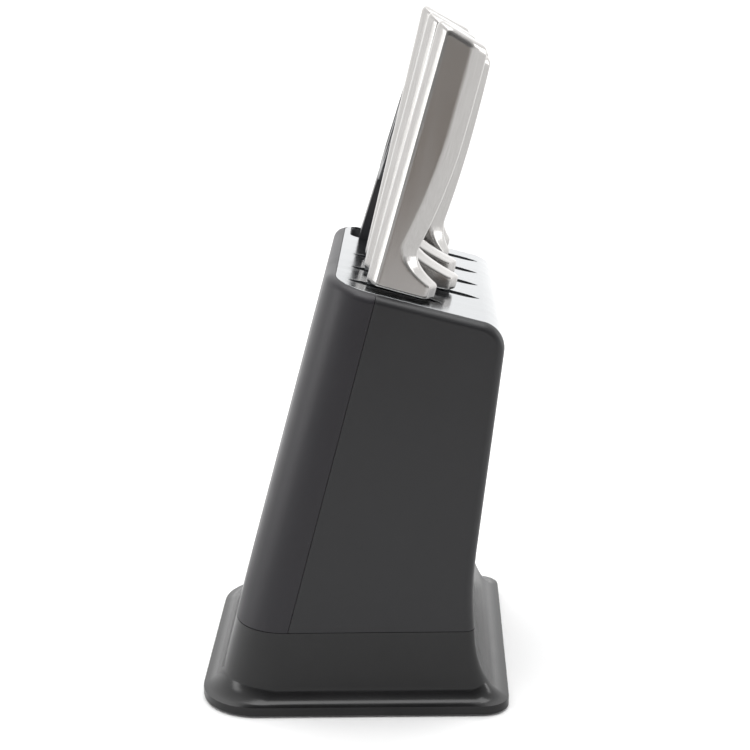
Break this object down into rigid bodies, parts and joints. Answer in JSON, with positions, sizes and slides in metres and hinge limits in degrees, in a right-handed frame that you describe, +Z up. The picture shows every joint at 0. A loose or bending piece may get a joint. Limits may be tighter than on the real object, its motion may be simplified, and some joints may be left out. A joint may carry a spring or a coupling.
{
  "type": "knife block with knives",
  "caption": "Slanted knife block on a flared foot, with a slotted steel deck, lift-out hollow-handled kitchen knives and a pair of shears.",
  "frame": {"origin": "centre of the foot's underside, on the table", "axes": "+Z up, +X towards the front, where the deck is lowest, +Y across the rows of knives towards the shears"},
  "size_m": [0.15, 0.16, 0.3282],
  "materials": {
    "back_shell": "matte",
    "front_shell": "matte",
    "base": "satin gloss",
    "deck_plate": "fine brushed, reflective",
    "handle_steel": "brushed flats, bright bevels",
    "blade_steel": "ground",
    "dark_plastic": "satin",
    "grip_plastic": "satin",
    "rubber": "matte",
    "screw_steel": "zinc"
  },
  "bodies": {
    "block": {"base_skirt": "base", "bottom_cover": "dark_plastic", "rubber_feet": "rubber", "cover_screws": "screw_steel", "shell_screws": "screw_steel", "back_shell": "back_shell", "front_shell": "front_shell", "deck_plate": "deck_plate", "slot_tray": "dark_plastic", "tray_screws": "screw_steel", "blade_comb": "dark_plastic"},
    "carving_knife": {"carving_blade": "blade_steel", "carving_handle": "handle_steel", "carving_cap": "handle_steel"},
    "chef_knife": {"chef_blade": "blade_steel", "chef_handle": "handle_steel", "chef_cap": "handle_steel"},
    "bread_knife": {"bread_blade": "blade_steel", "bread_handle": "handle_steel", "bread_cap": "handle_steel"},
    "utility_knife": {"utility_blade": "blade_steel", "utility_handle": "handle_steel", "utility_cap": "handle_steel"},
    "paring_knife": {"paring_blade": "blade_steel", "paring_handle": "handle_steel", "paring_cap": "handle_steel"},
    "shears": {"shears_near_blade": "blade_steel", "shears_near_grip": "grip_plastic", "shears_pivot": "blade_steel"},
    "shears_far_half": {"shears_far_blade": "blade_steel", "shears_far_grip": "grip_plastic"}
  },
  "joints": [
    {"name": "carving_lift", "type": "slide", "parent": "block", "child": "carving_knife", "axis": [0.2857, 0, 0.9583], "range_m": [0, 0.203]},
    {"name": "chef_lift", "type": "slide", "parent": "block", "child": "chef_knife", "axis": [0.2689, 0, 0.9632], "range_m": [0, 0.203]},
    {"name": "bread_lift", "type": "slide", "parent": "block", "child": "bread_knife", "axis": [0.247, 0, 0.969], "range_m": [0, 0.205]},
    {"name": "utility_lift", "type": "slide", "parent": "block", "child": "utility_knife", "axis": [0.2689, 0, 0.9632], "range_m": [0, 0.145]},
    {"name": "paring_lift", "type": "slide", "parent": "block", "child": "paring_knife", "axis": [0.2689, 0, 0.9632], "range_m": [0, 0.107]},
    {"name": "shears_lift", "type": "slide", "parent": "block", "child": "shears", "axis": [0.3156, 0, 0.9489], "range_m": [0, 0.118]},
    {"name": "shears_open", "type": "hinge", "parent": "shears", "child": "shears_far_half", "pos_m": [0.00154, 0.051, 0.1914], "axis": [-0.9489, 0, 0.3156], "range_deg": [0, 5]}
  ]
}
